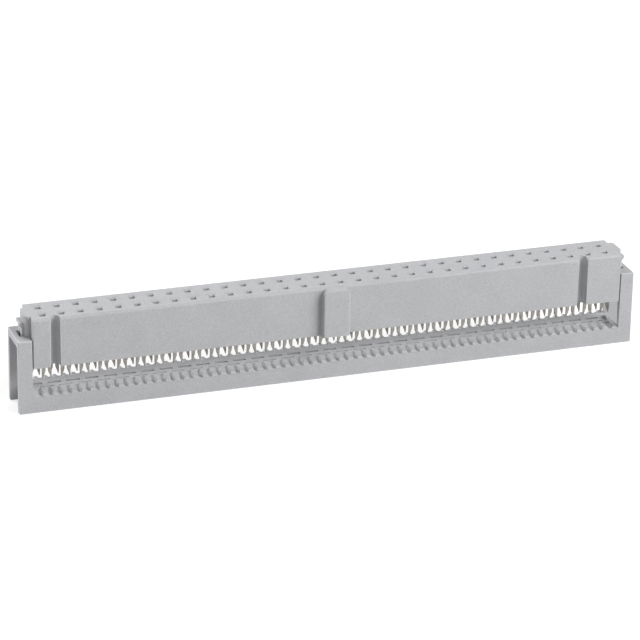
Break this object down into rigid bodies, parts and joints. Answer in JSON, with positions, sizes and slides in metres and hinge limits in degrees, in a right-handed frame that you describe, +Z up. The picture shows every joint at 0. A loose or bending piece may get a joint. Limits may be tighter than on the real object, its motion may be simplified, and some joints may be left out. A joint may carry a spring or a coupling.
{
  "type": "insulation displacement socket connector",
  "caption": "Two-row flat-cable socket with square pin entries, a polarising key, slotted forks that cut into the cable, and a latching clamp cover.",
  "frame": {"origin": "middle of the cover's flat underside, below the middle of the pin grid", "axes": "+X along the pin rows, with the key facing -Y; +Y to the back; +Z up from the cover to the mating face"},
  "size_m": [0.0862, 0.0069, 0.013],
  "materials": {
    "housing_plastic": "light grey moulded thermoplastic, fine matte grain",
    "cover_plastic": "light grey moulded thermoplastic, fine matte grain",
    "contact_metal": "stamped copper alloy strip with dull tin plating"
  },
  "bodies": {
    "cover": {"cover": "cover_plastic"},
    "socket": {"housing": "housing_plastic", "contact_pair_01": "contact_metal", "contact_pair_02": "contact_metal", "contact_pair_03": "contact_metal", "contact_pair_04": "contact_metal", "contact_pair_05": "contact_metal", "contact_pair_06": "contact_metal", "contact_pair_07": "contact_metal", "contact_pair_08": "contact_metal", "contact_pair_09": "contact_metal", "contact_pair_10": "contact_metal", "contact_pair_11": "contact_metal", "contact_pair_12": "contact_metal", "contact_pair_13": "contact_metal", "contact_pair_14": "contact_metal", "contact_pair_15": "contact_metal", "contact_pair_16": "contact_metal", "contact_pair_17": "contact_metal", "contact_pair_18": "contact_metal", "contact_pair_19": "contact_metal", "contact_pair_20": "contact_metal", "contact_pair_21": "contact_metal", "contact_pair_22": "contact_metal", "contact_pair_23": "contact_metal", "contact_pair_24": "contact_metal", "contact_pair_25": "contact_metal", "contact_pair_26": "contact_metal", "contact_pair_27": "contact_metal", "contact_pair_28": "contact_metal", "contact_pair_29": "contact_metal", "contact_pair_30": "contact_metal", "contact_pair_31": "contact_metal", "contact_pair_32": "contact_metal"}
  },
  "joints": [
    {"name": "cover_press", "type": "slide", "parent": "cover", "child": "socket", "axis": [0, 0, -1], "range_m": [0, 0.00285]}
  ]
}
